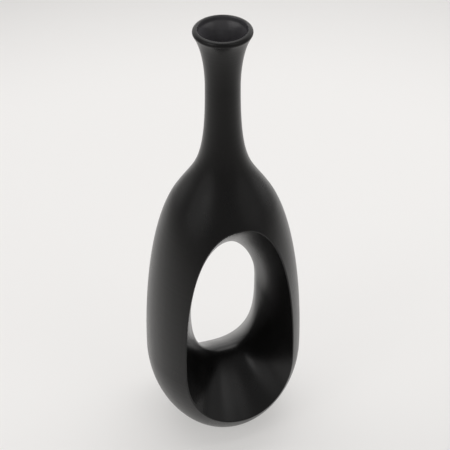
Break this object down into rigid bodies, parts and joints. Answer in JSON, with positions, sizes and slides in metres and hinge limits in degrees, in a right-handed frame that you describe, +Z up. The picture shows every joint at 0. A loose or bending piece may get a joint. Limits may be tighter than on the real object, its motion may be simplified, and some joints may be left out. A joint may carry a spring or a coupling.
{
  "type": "bottle vase",
  "caption": "Tall black clay bottle vase with a narrow flared neck and an oval funnel-shaped hole through its belly.",
  "frame": {"origin": "centre of the flat foot, on the surface that the bottle stands on", "axes": "+Z up along the bottle's axis; the hole through the belly runs along Y, with the front towards -Y"},
  "size_m": [0.1108, 0.0888, 0.3194],
  "materials": {
    "satin_black_clay": "smoke-blackened unglazed clay, rubbed to a soft satin, with fine turning marks",
    "burnished_black_clay": "the same clay, stone-burnished to a deep gloss"
  },
  "bodies": {
    "root": {"base_disc": "satin_black_clay", "lower_body": "satin_black_clay", "upper_body": "satin_black_clay", "neck": "satin_black_clay", "lip_ring": "satin_black_clay", "front_funnel": "burnished_black_clay", "back_funnel": "burnished_black_clay"}
  },
  "joints": []
}
